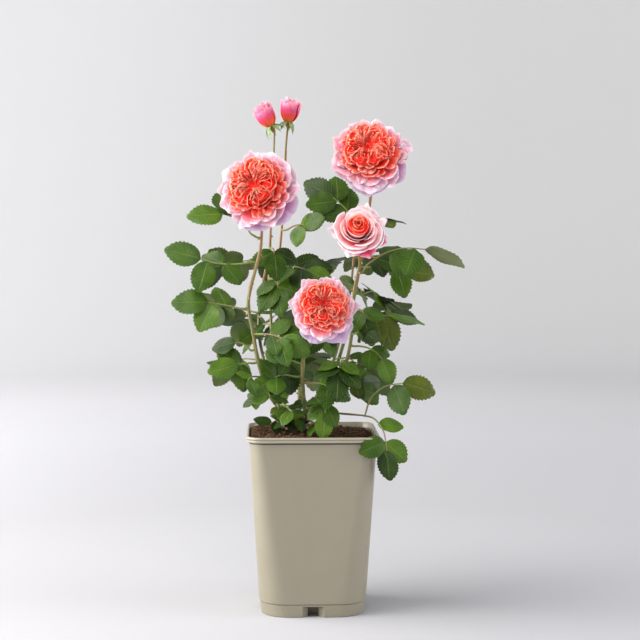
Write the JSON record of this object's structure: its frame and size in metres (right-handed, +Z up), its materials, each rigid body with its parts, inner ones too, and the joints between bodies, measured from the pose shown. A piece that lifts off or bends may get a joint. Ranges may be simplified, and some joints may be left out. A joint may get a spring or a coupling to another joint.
{
  "type": "potted rose bush",
  "caption": "Shrub rose in full bloom, grafted low, with leafy canes, open roses, a half-open rose and buds, growing in a tall square plastic nursery pot filled with soil.",
  "frame": {"origin": "middle of the pot's flat underside, which stands on the floor", "axes": "+Z is up, along the plant; -Y is the front, towards which the open roses look; +X is the plant's right seen from the front"},
  "size_m": [0.3869, 0.3281, 0.6798],
  "materials": {
    "pot_plastic": "satin grey-beige injection-moulded plastic, with faint flow marks",
    "soil": "loose crumbly potting soil, moist and matt",
    "graft_bark": "rough brown knobbly bark",
    "cane_bark": "smooth green bark, turning reddish brown higher up, with prickles",
    "petals": "soft matt petals, coral inside and pale pink to lilac at the edges",
    "leaves": "glossy green upper side, paler matt underside"
  },
  "bodies": {
    "root": {"bloom_left": "petals", "bloom_low": "petals", "bloom_right": "petals", "bud_left": "petals", "bud_top": "petals", "cane_back": "cane_bark", "cane_back_left": "cane_bark", "cane_back_right": "cane_bark", "cane_bud": "cane_bark", "cane_left": "cane_bark", "cane_low": "cane_bark", "cane_right": "cane_bark", "cane_right_bloom": "cane_bark", "cane_top": "cane_bark", "graft_union": "graft_bark", "leaves_back_left_low": "leaves", "leaves_back_left_middle": "leaves", "leaves_back_left_top": "leaves", "leaves_back_low": "leaves", "leaves_back_middle": "leaves", "leaves_back_right_low": "leaves", "leaves_back_right_middle": "leaves", "leaves_back_right_top": "leaves", "leaves_back_top": "leaves", "leaves_behind_low_bloom": "leaves", "leaves_behind_rose": "leaves", "leaves_beside_rose": "leaves", "leaves_centre_left": "leaves", "leaves_centre_right": "leaves", "leaves_centre_top": "leaves", "leaves_foot_left": "leaves", "leaves_inner_back": "leaves", "leaves_inner_left": "leaves", "leaves_inner_middle": "leaves", "leaves_inner_right": "leaves", "leaves_left_foot": "leaves", "leaves_left_lower": "leaves", "leaves_left_middle": "leaves", "leaves_left_top": "leaves", "leaves_left_twig": "leaves", "leaves_left_upper": "leaves", "leaves_low_bud": "leaves", "leaves_low_front": "leaves", "leaves_low_left": "leaves", "leaves_low_middle": "leaves", "leaves_low_right": "leaves", "leaves_mid_left": "leaves", "leaves_mid_right": "leaves", "leaves_right_inner": "leaves", "leaves_right_low_spray": "leaves", "leaves_right_lower": "leaves", "leaves_right_middle": "leaves", "leaves_right_outer": "leaves", "leaves_right_upper": "leaves", "leaves_top_left": "leaves", "leaves_top_right": "leaves", "leaves_under_bloom": "leaves", "pot": "pot_plastic", "rose_half_open": "petals", "soil": "soil"}
  },
  "joints": []
}
